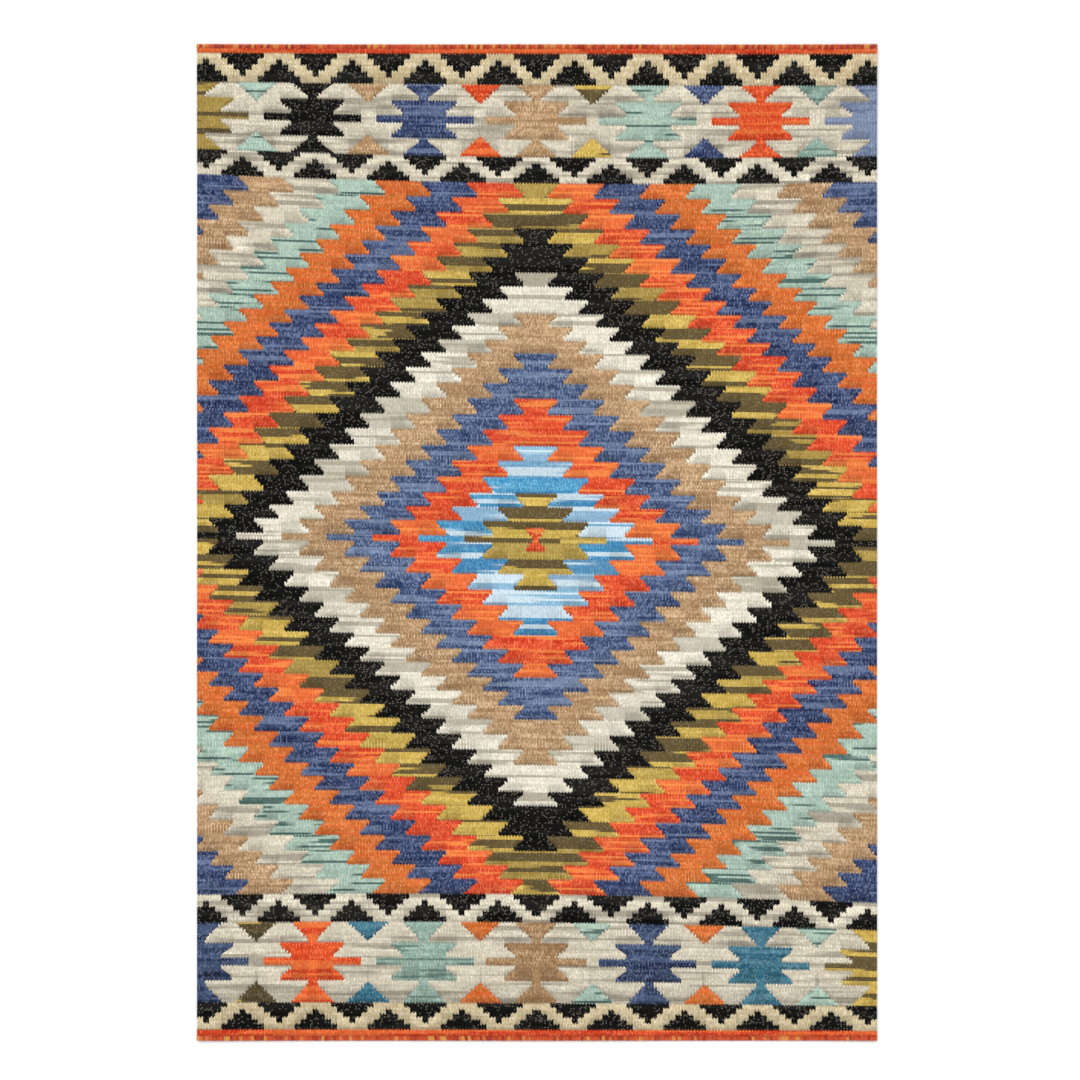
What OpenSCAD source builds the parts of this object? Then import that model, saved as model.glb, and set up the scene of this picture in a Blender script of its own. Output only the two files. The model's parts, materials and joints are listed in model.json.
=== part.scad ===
// Flat-woven wool rug: cotton warps between the face and back floats of many coloured wefts.
// The cloth lies on z = 0, its length along Y and its width along X, with its origin under its middle.

/* [Cloth] */
// Width across the warps
cloth_w = 1570; // [1400:10:1900]
// Length along the warps, over both bound ends
cloth_l = 2300; // [2000:10:2800]
// Thickness of the woven cloth
cloth_t = 4; // [3:0.1:6]

/* [Warps] */
// Distance between neighbouring warps
warp_pitch = 3.52; // [3:0.02:4.4]
// Diameter of one cotton warp
warp_d = 1.4; // [1:0.1:1.6]
// Gap left between a warp and the floats above and below it
warp_clear = 0.05; // [0.02:0.01:0.1]
// Gap between the cords that stiffen a side edge
selvedge_clear = 0.1; // [0.05:0.05:0.3]
// Width of the weft that turns round the outermost cord
weft_turn_w = 0.8; // [0.5:0.1:1.2]

/* [Bound ends] */
// Length of the overcast stitches on each end
overcast_l = 10; // [8:1:20]
// Thickness of the overcast stitches over the end and on the face
overcast_wall = 1.1; // [0.8:0.1:2]
// Diameter of the roll of turned-in warp ends
end_roll_d = 2.2; // [1.8:0.1:4]
// Gap left round the end roll
end_roll_clear = 0.2; // [0.1:0.1:0.6]
// Plain web between the overcasting and the pattern, far end
web_far_l = 11; // [6:1:40]
// Plain web between the overcasting and the pattern, near end
web_near_l = 15; // [6:1:40]

/* [Guard bands] */
// Height of the outer guard band, far end
outer_guard_far_h = 69; // [50:1:90]
// Height of the inner guard band, far end
inner_guard_far_h = 60; // [50:1:90]
// Height of the inner guard band, near end
inner_guard_near_h = 65; // [50:1:90]
// Height of the outer guard band, near end
outer_guard_near_h = 60; // [50:1:90]
// Distance between two stepped triangles that point the same way
guard_pitch = 170; // [140:1:200]
// Width of one step on each side of a stepped triangle
step_w = 14.5; // [10:0.5:16]
// Ground left between a stepped triangle's tip and the far edge of its band
tip_gap = 15; // [8:1:24]

/* [Border bands] */
// Height of the medallion band, far end
border_far_h = 165; // [150:1:200]
// Height of the medallion band, near end
border_near_h = 185; // [150:1:200]
// Distance between medallions
medallion_pitch = 259; // [245:1:280]
// Gap between the crossing bars of neighbouring medallions
bar_gap = 31; // [10:1:60]
// Half the height of the crossing bar
bar_half_h = 8; // [5:1:12]
// Half the width of the waist above and below the bar
waist_half_w = 45; // [30:1:60]
// Height of the waist between the crossing bar and a shoulder's slope
waist_h = 3; // [1:1:8]
// Half the width of a medallion's shoulders
shoulder_half_w = 79; // [65:1:90]
// Height of a shoulder's slope
shoulder_h = 32; // [20:1:42]
// Half the width of the neck above the shoulders
neck_half_w = 9; // [4:1:12]
// Height of the neck
neck_h = 7; // [4:1:12]
// Half the width of the triangle that a neck carries
cap_half_w = 50; // [40:1:56]
// Half the width of the small triangles between medallions
fill_half_w = 49; // [36:1:52]
// Height of the small triangles between medallions
fill_h = 46; // [30:1:50]

/* [Field] */
// Sideways shift of the diamond's middle
field_shift = -3; // [-10:1:10]
// Height of the thin row across the middle of the diamond
middle_row_h = 16; // [10:1:24]
// Width that each row's edge steps in by
row_step = 35.2; // [30:0.1:38]
// Width over which a row's edge slants
row_slant = 35.2; // [20:0.1:40]
// Half the width of the last row of each coloured diamond
peak_half_w = 56.3; // [50:0.1:70]
// Half the width of the red hourglass in the middle
hourglass_half_w = 26; // [18:1:34]
// Half the waist of the hourglass
hourglass_waist = 4; // [3:1:8]
// Height of each half of the hourglass
hourglass_h = 27; // [18:1:32]

/* [Hidden] */
$fn = 48;

WARP = "ivory";
BLACK = [0.07, 0.07, 0.08];
BEIGE = [0.76, 0.69, 0.54];
GREY_IVORY = [0.78, 0.75, 0.68];
IVORY = [0.9, 0.87, 0.78];
RED = [0.86, 0.24, 0.12];
ORANGE = [0.85, 0.42, 0.15];
MUSTARD = [0.72, 0.58, 0.2];
NAVY = [0.22, 0.28, 0.5];
LIGHT_BLUE = [0.42, 0.66, 0.85];
AQUA = [0.58, 0.75, 0.68];
TEAL = [0.13, 0.38, 0.52];
TAN = [0.67, 0.5, 0.34];

FAR = 1;
NEAR = -1;

// Warps
half_w = cloth_w / 2;
float_t = (cloth_t - warp_d) / 2 - warp_clear;
warp_z = cloth_t / 2;
selvedge_reach = 2 * warp_pitch;
warps_per_side = ceil((half_w - selvedge_reach) / warp_pitch) - 1;
selvedge_x = half_w - weft_turn_w - selvedge_clear - warp_d / 2;

// Bands, measured along Y from the bound ends towards the middle
far_end = cloth_l / 2;
near_end = -cloth_l / 2;
far_web_y = far_end - overcast_l;
far_outer_y = far_web_y - web_far_l;
far_border_y = far_outer_y - outer_guard_far_h;
far_inner_y = far_border_y - border_far_h;
far_field_y = far_inner_y - inner_guard_far_h;
near_web_y = near_end + overcast_l;
near_outer_y = near_web_y + web_near_l;
near_border_y = near_outer_y + outer_guard_near_h;
near_inner_y = near_border_y + border_near_h;
near_field_y = near_inner_y + inner_guard_near_h;
far_medallion_y = (far_border_y + far_inner_y) / 2;
near_medallion_y = (near_border_y + near_inner_y) / 2;

end_roll_space = end_roll_d + 2 * end_roll_clear;
end_roll_y = far_end - overcast_wall - end_roll_space / 2;
overcast_t = float_t + end_roll_space + overcast_wall;
warp_l = 2 * (end_roll_y - end_roll_space / 2);

// Medallions, measured from their own middle
bar_half_l = (medallion_pitch - bar_gap) / 2;
waist_top = bar_half_h + waist_h;
shoulder_top = waist_top + shoulder_h;
neck_top = shoulder_top + neck_h;

// Stepped triangles
STEPS = 4;

// Diamonds: eight colours from the middle out to each end, three rows of weaving in each colour
ROWS_PER_BAND = 3;
BANDS = 8;
ROWS = ROWS_PER_BAND * BANDS;
// Share of the field that each colour's three rows take up, from the middle out: a weaver's beat varies
FAR_BEAT = [100, 109, 110, 105, 92, 96, 102, 106];
NEAR_BEAT = [110, 104, 99, 97, 105, 94, 107, 98];
near_beats = sum_first(NEAR_BEAT, BANDS);
far_beats = sum_first(FAR_BEAT, BANDS);
middle_y = near_field_y + (far_field_y - near_field_y) * near_beats / (near_beats + far_beats);
band_step = ROWS_PER_BAND * row_step;
// Number of diamonds that reach past the middle row before the side edges cut them
WHOLE_RINGS = 6;
// An edge that comes this near to the side of the cloth is cut off there
EDGE_MARGIN = 3;

// Sum of the first n entries of a list
function sum_first(list, n) = n == 0 ? 0 : list[n - 1] + sum_first(list, n - 1);

// Nearest gap between two warps to x
function gap_x(x) = round(x / warp_pitch) * warp_pitch;

// Distance from the diamond's middle line to the outer edge of row j on one side
function row_y(side, j) =
    let (
        beat = side == FAR ? FAR_BEAT : NEAR_BEAT,
        room = (side == FAR ? far_field_y - middle_y : middle_y - near_field_y) - middle_row_h / 2,
        band = floor(j / ROWS_PER_BAND),
        part = (j % ROWS_PER_BAND) / ROWS_PER_BAND,
        beaten = sum_first(beat, band) + (band < BANDS ? part * beat[band] : 0)
    )
    middle_row_h / 2 + room * beaten / sum_first(beat, BANDS);

// Half the width of diamond k at the outer edge of row j, before the side edges of the cloth cut it
function row_half(k, j) =
    peak_half_w + band_step * (k + 1) - row_step * j;

// Rows of diamond k between the middle row and its peak
function rows_of(k) = min(ROWS, ROWS_PER_BAND * (k + 1));

// x of one edge point of diamond k, cut off at the cloth's side edge on that hand
function cut_x(hand, x, outer) =
    let (side_x = half_w - hand * field_shift)
    outer > side_x - EDGE_MARGIN ? side_x : x;

// Saw-toothed edge of diamond k on one hand and towards one end, from the middle row outwards
function saw(k, hand, side) = [
    for (j = [1 : rows_of(k)])
        let (out = row_half(k, j))
        each [
            [hand * cut_x(hand, out - row_slant, out), side * row_y(side, j - 1)],
            [hand * cut_x(hand, out, out), side * row_y(side, j)]
        ]
];

// Ends of the thin middle row of diamond k on one hand
function middle_end(k, hand) =
    let (x = cut_x(hand, row_half(k, 0), row_half(k, 0)))
    [[hand * x, -middle_row_h / 2], [hand * x, middle_row_h / 2]];

function reversed(list) = [for (i = [len(list) - 1 : -1 : 0]) list[i]];

// Everything inside the outer edge of diamond k
module diamond(k)
    translate([field_shift, middle_y])
        polygon(concat(
            middle_end(k, 1), saw(k, 1, FAR),
            reversed(saw(k, -1, FAR)), reversed(middle_end(k, -1)),
            saw(k, -1, NEAR), reversed(saw(k, 1, NEAR))
        ));

module across(y_low, y_high)
    translate([-half_w, y_low])
        square([cloth_w, y_high - y_low]);

// One stepped triangle with its base on y = 0, pointing along Y towards side
module stepped_triangle(band_h, side)
    let (
        step_h = (band_h - tip_gap) / STEPS,
        right = [
            for (i = [0 : STEPS - 1])
                let (half = (STEPS - i - 0.5) * step_w)
                each [[half, side * i * step_h], [half, side * (i + 1) * step_h]]
        ]
    )
    polygon(concat(right, reversed([for (p = right) [-p.x, p.y]])));

// Stepped triangles of one band: side is the end they belong to, outward_at the phase of those pointing to it
module steps_2d(y_inner, y_outer, side, outward_at)
    let (band_h = abs(y_outer - y_inner), reach = ceil(half_w / guard_pitch))
    intersection() {
        across(min(y_inner, y_outer), max(y_inner, y_outer));
        for (n = [-reach : reach]) {
            translate([(n + outward_at) * guard_pitch, y_inner])
                stepped_triangle(band_h, side);
            translate([(n + 0.5 - outward_at) * guard_pitch, y_outer])
                stepped_triangle(band_h, -side);
        }
    }

// A medallion about the origin, in a band of the given height
module medallion_2d(band_h)
    let (
        edge = band_h / 2,
        quarter = [
            [bar_half_l, bar_half_h], [waist_half_w, bar_half_h], [waist_half_w, waist_top],
            [shoulder_half_w, shoulder_top], [neck_half_w, shoulder_top], [neck_half_w, neck_top],
            [cap_half_w, edge]
        ]
    )
    polygon(concat(
        quarter,
        reversed([for (p = quarter) [-p.x, p.y]]),
        [for (p = quarter) [-p.x, -p.y]],
        reversed([for (p = quarter) [p.x, -p.y]])
    ));

// The two small triangles that face each other across a band
module fill_2d(band_h)
    for (side = [-1, 1])
        polygon([
            [-fill_half_w, side * band_h / 2],
            [fill_half_w, side * band_h / 2],
            [0, side * (band_h / 2 - fill_h)]
        ]);

module cell_at(x, side)
    translate([x, side == FAR ? far_medallion_y : near_medallion_y])
        children();

// A woven patch: face floats, back floats and the turns round the cloth's side edges
module woven() {
    for (z = [0, cloth_t - float_t])
        translate([0, 0, z])
            linear_extrude(float_t) children();
    linear_extrude(cloth_t)
        intersection() {
            children();
            for (hand = [-1, 1])
                translate([hand * (half_w - weft_turn_w / 2), 0])
                    square([weft_turn_w, cloth_l], center = true);
        }
}

// A pass of weft between two warps, which joins the face floats to the back floats
module pass(x, y, pass_l = 16)
    translate([gap_x(x), y, cloth_t / 2])
        cube([(warp_pitch - warp_d) / 2, pass_l, cloth_t - float_t], center = true);

module medallion(n, side, tint) {
    x = n * medallion_pitch;
    band_h = side == FAR ? border_far_h : border_near_h;
    y = side == FAR ? far_medallion_y : near_medallion_y;
    color(tint) {
        woven()
            intersection() {
                cell_at(x, side) medallion_2d(band_h);
                across(y - band_h / 2, y + band_h / 2);
            }
        if (abs(x) < half_w)
            pass(x, y, bar_half_h);
    }
}

module fill_pair(places, side, tint) {
    band_h = side == FAR ? border_far_h : border_near_h;
    y = side == FAR ? far_medallion_y : near_medallion_y;
    color(tint)
        for (n = places) {
            woven() cell_at(n * medallion_pitch, side) fill_2d(band_h);
            for (end = [-1, 1])
                pass(n * medallion_pitch, y + end * (band_h / 2 - fill_h / 4), fill_h / 4);
        }
}

module border_ground(side) {
    band_h = side == FAR ? border_far_h : border_near_h;
    y = side == FAR ? far_medallion_y : near_medallion_y;
    color(GREY_IVORY) {
        woven()
            difference() {
                across(y - band_h / 2, y + band_h / 2);
                for (n = [-3 : 3])
                    cell_at(n * medallion_pitch, side) medallion_2d(band_h);
                for (n = [-3 : 2])
                    cell_at((n + 0.5) * medallion_pitch, side) fill_2d(band_h);
            }
        for (n = [-3 : 2])
            pass((n + 0.5) * medallion_pitch, y);
    }
}

module guard_steps(y_inner, y_outer, side, outward_at) {
    band_h = abs(y_outer - y_inner);
    reach = floor((half_w - guard_pitch / 4) / guard_pitch);
    color(BLACK) {
        woven() steps_2d(y_inner, y_outer, side, outward_at);
        for (n = [-reach : reach]) {
            at_base = band_h / 8;
            inward_n = n + 0.5 - outward_at;
            pass((n + outward_at) * guard_pitch, y_inner + side * at_base, at_base);
            if (abs(inward_n) * guard_pitch < half_w - guard_pitch / 4)
                pass(inward_n * guard_pitch, y_outer - side * at_base, at_base);
        }
    }
}

module guard_ground(y_inner, y_outer, side, outward_at, tint) {
    reach = floor(half_w / guard_pitch) - 1;
    color(tint) {
        woven()
            difference() {
                across(min(y_inner, y_outer), max(y_inner, y_outer));
                steps_2d(y_inner, y_outer, side, outward_at);
            }
        for (n = [-reach : reach])
            pass((n + 0.25) * guard_pitch, (y_inner + y_outer) / 2, step_w / 2);
    }
}

// Passes that tie a ring of the field together, one in each quarter
module ring_passes(k) {
    row = min(ROWS, max(1, ROWS_PER_BAND * (k - WHOLE_RINGS) + 1));
    x = row_half(k, row) - (band_step + row_slant) / 2;
    for (hand = [-1, 1], side = [FAR, NEAR])
        pass(
            field_shift + hand * x,
            middle_y + side * (row_y(side, row - 1) + row_y(side, row)) / 2
        );
}

module ring(k, tint)
    color(tint) {
        woven()
            difference() {
                diamond(k);
                diamond(k - 1);
            }
        ring_passes(k);
    }

module hourglass_2d()
    translate([field_shift, middle_y])
        polygon([
            [-hourglass_half_w, -hourglass_h], [hourglass_half_w, -hourglass_h],
            [hourglass_waist, 0],
            [hourglass_half_w, hourglass_h], [-hourglass_half_w, hourglass_h],
            [-hourglass_waist, 0]
        ]);

module centre_hourglass()
    color(RED) {
        woven() hourglass_2d();
        for (side = [-1, 1])
            pass(field_shift, middle_y + side * hourglass_h * 0.7, hourglass_h / 3);
    }

module centre_mustard()
    color(MUSTARD) {
        woven()
            difference() {
                diamond(0);
                hourglass_2d();
            }
        for (hand = [-1, 1])
            pass(field_shift + hand * 1.5 * row_step, middle_y, middle_row_h);
    }

// Warps run from one end roll to the other, halfway through the cloth
module lengthwise(x)
    translate([x, 0, warp_z])
        rotate([90, 0, 0])
            cylinder(d = warp_d, h = warp_l, center = true);

module warp_threads()
    color(WARP)
        for (i = [0.5 - warps_per_side : warps_per_side - 0.5])
            lengthwise(i * warp_pitch);

module selvedge_cords(hand)
    color(WARP)
        for (i = [0, 1])
            lengthwise(hand * (selvedge_x - i * (warp_d + selvedge_clear)));

module end_web(y_low, y_high)
    color(RED) {
        woven() across(y_low, y_high);
        for (n = [-2 : 2])
            pass(n * medallion_pitch, (y_low + y_high) / 2, (y_high - y_low) / 2);
    }

module end_roll(side)
    color(WARP)
        translate([0, side * end_roll_y, float_t + end_roll_space / 2])
            rotate([0, 90, 0])
                cylinder(d = end_roll_d, h = cloth_w - 2 * end_roll_clear, center = true);

// Overcast stitches, as one sleeve folded round the end roll: a U on its side, carried along X
module end_overcasting(side)
    color(RED)
        translate([0, side * far_end, 0])
            rotate([90, 0, -side * 90])
                translate([0, 0, -half_w])
                    linear_extrude(cloth_w)
                        difference() {
                            polygon(concat(
                                [for (a = [90 : 15 : 270])
                                    overcast_t / 2 * [1 + cos(a), 1 + sin(a)]],
                                [[overcast_l, 0], [overcast_l, overcast_t]]
                            ));
                            translate([overcast_wall, float_t])
                                square([overcast_l, end_roll_space]);
                        }

warp_threads();
selvedge_cords(-1);  // selvedge_cords_left
selvedge_cords(1);  // selvedge_cords_right
end_web(far_outer_y, far_web_y);  // end_web_far
end_web(near_web_y, near_outer_y);  // end_web_near
end_roll(FAR);  // end_roll_far
end_roll(NEAR);  // end_roll_near
end_overcasting(FAR);  // end_overcasting_far
end_overcasting(NEAR);  // end_overcasting_near
guard_ground(far_border_y, far_outer_y, FAR, 0.5, BEIGE);  // outer_guard_ground_far
guard_ground(near_border_y, near_outer_y, NEAR, 0.5, BEIGE);  // outer_guard_ground_near
guard_ground(far_field_y, far_inner_y, FAR, 0, GREY_IVORY);  // inner_guard_ground_far
guard_ground(near_field_y, near_inner_y, NEAR, 0, GREY_IVORY);  // inner_guard_ground_near
guard_steps(far_border_y, far_outer_y, FAR, 0.5);  // outer_guard_steps_far
guard_steps(near_border_y, near_outer_y, NEAR, 0.5);  // outer_guard_steps_near
guard_steps(far_field_y, far_inner_y, FAR, 0);  // inner_guard_steps_far
guard_steps(near_field_y, near_inner_y, NEAR, 0);  // inner_guard_steps_near
border_ground(FAR);  // border_ground_far
border_ground(NEAR);  // border_ground_near
medallion(-3, FAR, MUSTARD);  // medallion_far_mustard
medallion(-2, FAR, BLACK);  // medallion_far_black
medallion(-1, FAR, NAVY);  // medallion_far_navy
medallion(0, FAR, TAN);  // medallion_far_tan
medallion(1, FAR, AQUA);  // medallion_far_aqua
medallion(2, FAR, RED);  // medallion_far_red
medallion(3, FAR, NAVY);  // medallion_far_navy_right
medallion(-3, NEAR, NAVY);  // medallion_near_navy_left
medallion(-2, NEAR, RED);  // medallion_near_red
medallion(-1, NEAR, AQUA);  // medallion_near_aqua
medallion(0, NEAR, TAN);  // medallion_near_tan
medallion(1, NEAR, NAVY);  // medallion_near_navy
medallion(2, NEAR, TEAL);  // medallion_near_teal
medallion(3, NEAR, MUSTARD);  // medallion_near_mustard
fill_pair([-2.5], FAR, AQUA);  // fill_far_aqua_left
fill_pair([-1.5], FAR, TAN);  // fill_far_tan
fill_pair([-0.5], FAR, RED);  // fill_far_red
fill_pair([0.5], FAR, MUSTARD);  // fill_far_mustard
fill_pair([1.5], FAR, NAVY);  // fill_far_navy
fill_pair([2.5], FAR, AQUA);  // fill_far_aqua
fill_pair([-2.5], NEAR, MUSTARD);  // fill_near_mustard
fill_pair([-1.5], NEAR, TEAL);  // fill_near_teal
fill_pair([-0.5, 1.5], NEAR, ORANGE);  // fill_near_orange
fill_pair([0.5, 2.5], NEAR, AQUA);  // fill_near_aqua
centre_hourglass();  // field_centre_hourglass
centre_mustard();  // field_centre_mustard
ring(1, LIGHT_BLUE);  // field_light_blue
ring(2, RED);  // field_inner_red
ring(3, NAVY);  // field_inner_navy
ring(4, TAN);  // field_inner_tan
ring(5, IVORY);  // field_ivory
ring(6, BLACK);  // field_black
ring(7, MUSTARD);  // field_outer_mustard
ring(8, RED);  // field_outer_red
ring(9, NAVY);  // field_outer_navy
ring(10, ORANGE);  // field_orange
ring(11, AQUA);  // field_aqua
ring(12, GREY_IVORY);  // field_grey
ring(13, TAN);  // field_outer_tan
ring(14, NAVY);  // field_corner_navy
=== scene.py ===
"""A flat-woven wool rug, rib by rib: every coloured patch of the cloth, its warps, cords and bound ends."""

import json
import logging
import math
from dataclasses import dataclass
from enum import Enum

import bpy
import numpy as np
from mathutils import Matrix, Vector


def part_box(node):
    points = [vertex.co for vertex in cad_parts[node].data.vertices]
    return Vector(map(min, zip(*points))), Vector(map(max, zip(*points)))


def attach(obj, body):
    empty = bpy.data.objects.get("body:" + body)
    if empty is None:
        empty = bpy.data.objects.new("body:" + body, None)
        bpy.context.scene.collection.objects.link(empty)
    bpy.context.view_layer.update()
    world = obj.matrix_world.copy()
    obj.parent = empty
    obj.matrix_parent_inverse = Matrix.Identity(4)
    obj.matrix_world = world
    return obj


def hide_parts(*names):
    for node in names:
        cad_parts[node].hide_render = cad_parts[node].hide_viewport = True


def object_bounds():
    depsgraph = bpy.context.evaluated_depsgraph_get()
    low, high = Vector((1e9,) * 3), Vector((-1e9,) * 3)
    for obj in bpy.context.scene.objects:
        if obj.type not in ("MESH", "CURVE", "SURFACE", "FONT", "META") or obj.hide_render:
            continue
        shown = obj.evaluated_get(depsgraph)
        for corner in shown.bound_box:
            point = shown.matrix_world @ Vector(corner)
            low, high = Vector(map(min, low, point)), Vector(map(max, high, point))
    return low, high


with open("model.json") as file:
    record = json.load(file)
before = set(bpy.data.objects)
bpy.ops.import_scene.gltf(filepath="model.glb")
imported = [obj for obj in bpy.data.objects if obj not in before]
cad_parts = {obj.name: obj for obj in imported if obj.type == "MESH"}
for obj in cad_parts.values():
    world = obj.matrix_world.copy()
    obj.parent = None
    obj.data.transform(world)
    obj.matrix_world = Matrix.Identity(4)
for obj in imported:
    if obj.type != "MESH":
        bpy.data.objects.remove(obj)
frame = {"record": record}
CAD_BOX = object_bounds()
LOG = logging.getLogger("rug")
Array = np.ndarray
Socket = bpy.types.NodeSocket
Value = float | tuple | Socket

WEAVE_MAP = "Weave"
BAKE_MAP = "OFBake"
LOT = "lot"
STRAND = "strand"

# A warp is drawn thicker than the 1.4 mm it has in the CAD. At 1.4 mm the sheet's area share would be about
# 0.61, under its lower bound of 0.7; nothing about a real warp is behind this number.
DRAWN_WARP = 0.0018


class End(Enum):
    """The two ends of the rug, with the direction of each along Y."""

    FAR = 1
    NEAR = -1


class Hand(Enum):
    """The two side edges of the rug, with the direction of each along X."""

    LEFT = -1
    RIGHT = 1


def dye(red: float, green: float, blue: float) -> tuple[float, float, float]:
    """Turns a dyer's sample, given from 0 to 255 as it looks on a screen, into a linear colour.

    Args:
        red: Red share of the sample.
        green: Green share of the sample.
        blue: Blue share of the sample.

    Returns:
        The linear colour: each share is (c + 0.055) / 1.055 to the power 2.4.
    """
    return tuple(((c / 255 + 0.055) / 1.055) ** 2.4 for c in (red, green, blue))


# ---------------------------------------------------------------- node groups


class Wiring:
    """Adds nodes to one node tree and joins them, so that a formula reads as one line."""

    def __init__(self, tree: bpy.types.NodeTree) -> None:
        """Keeps the tree that the nodes go into.

        Args:
            tree: A material's or a group's node tree.
        """
        self.tree = tree

    def node(self, kind: str, *inputs: Value, **settings: object) -> bpy.types.Node:
        """Adds one node, sets its properties and feeds its inputs in order.

        Args:
            kind: The node's type name after "ShaderNode".
            *inputs: A value or a socket for each input; None leaves one alone.
            **settings: The node's own properties.

        Returns:
            The new node.
        """
        made = self.tree.nodes.new("ShaderNode" + kind)
        for name, value in settings.items():
            setattr(made, name, value)
        for socket, value in zip(made.inputs, inputs):
            self.feed(socket, value)
        return made

    def feed(self, socket: Socket, value: Value | None) -> None:
        """Joins a socket to another, or sets its value.

        Args:
            socket: The input to feed.
            value: A socket, a number or a colour; None leaves the input alone.
        """
        if isinstance(value, bpy.types.NodeSocket):
            self.tree.links.new(value, socket)
        elif value is not None:
            if isinstance(value, tuple) and socket.type == "RGBA":
                value = (*value[:3], 1.0)
            socket.default_value = value

    def math(self, operation: str, *values: Value, clamp: bool = False) -> Socket:
        """Adds a Math node and returns its result."""
        return self.node("Math", *values, operation=operation, use_clamp=clamp).outputs[0]

    def step(self, value: Value, low: Value, high: Value) -> Socket:
        """Smooth step from 0 at low to 1 at high.

        Args:
            value: What is compared.
            low: Where the step starts.
            high: Where the step ends.

        Returns:
            The smoothed share.
        """
        made = self.node("MapRange", value, low, high, 0.0, 1.0, interpolation_type="SMOOTHSTEP")
        return made.outputs[0]

    def mix(self, share: Value, first: Value, second: Value, blend: str = "MIX") -> Socket:
        """Mixes two colours.

        Args:
            share: How much of the second there is.
            first: The colour at a share of 0.
            second: The colour at a share of 1.
            blend: How the two are mixed.

        Returns:
            The mixed colour.
        """
        made = self.node("Mix", data_type="RGBA", blend_type=blend)
        self.feed(made.inputs[0], share)
        self.feed(made.inputs[6], first)
        self.feed(made.inputs[7], second)
        return made.outputs[2]

    def group(self, tree: bpy.types.NodeTree, **inputs: Value) -> bpy.types.Node:
        """Places a node group and feeds its inputs by name, with _ for a space.

        Args:
            tree: The group's tree.
            **inputs: Values or sockets by input name.

        Returns:
            The group node.
        """
        made = self.tree.nodes.new("ShaderNodeGroup")
        made.node_tree = tree
        for name, value in inputs.items():
            self.feed(made.inputs[name.replace("_", " ")], value)
        return made


class Effect:
    """A shader node group that several wools share; each kind says its sockets and wires itself."""

    name = "effect"
    inputs: dict[str, str] = {}
    outputs: dict[str, str] = {}
    _built: dict[str, bpy.types.NodeTree] = {}

    @classmethod
    def tree(cls) -> bpy.types.NodeTree:
        """Builds the group the first time, and returns it every time."""
        if cls.name not in Effect._built:
            tree = bpy.data.node_groups.new(cls.name, "ShaderNodeTree")
            for way, sockets in (("INPUT", cls.inputs), ("OUTPUT", cls.outputs)):
                for name, kind in sockets.items():
                    tree.interface.new_socket(name, in_out=way, socket_type="NodeSocket" + kind)
            entry, leave = tree.nodes.new("NodeGroupInput"), tree.nodes.new("NodeGroupOutput")
            results = cls.wire(Wiring(tree), entry.outputs)
            for name, socket in results.items():
                tree.links.new(socket, leave.inputs[name])
            Effect._built[cls.name] = tree
        return Effect._built[cls.name]

    @classmethod
    def wire(cls, w: Wiring, entry: bpy.types.NodeOutputs) -> dict[str, Socket]:
        """Wires the group; each kind has its own.

        Args:
            w: Adds nodes to the group.
            entry: The group's inputs.

        Returns:
            The sockets that feed the group's outputs, by name.
        """
        raise NotImplementedError


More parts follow.
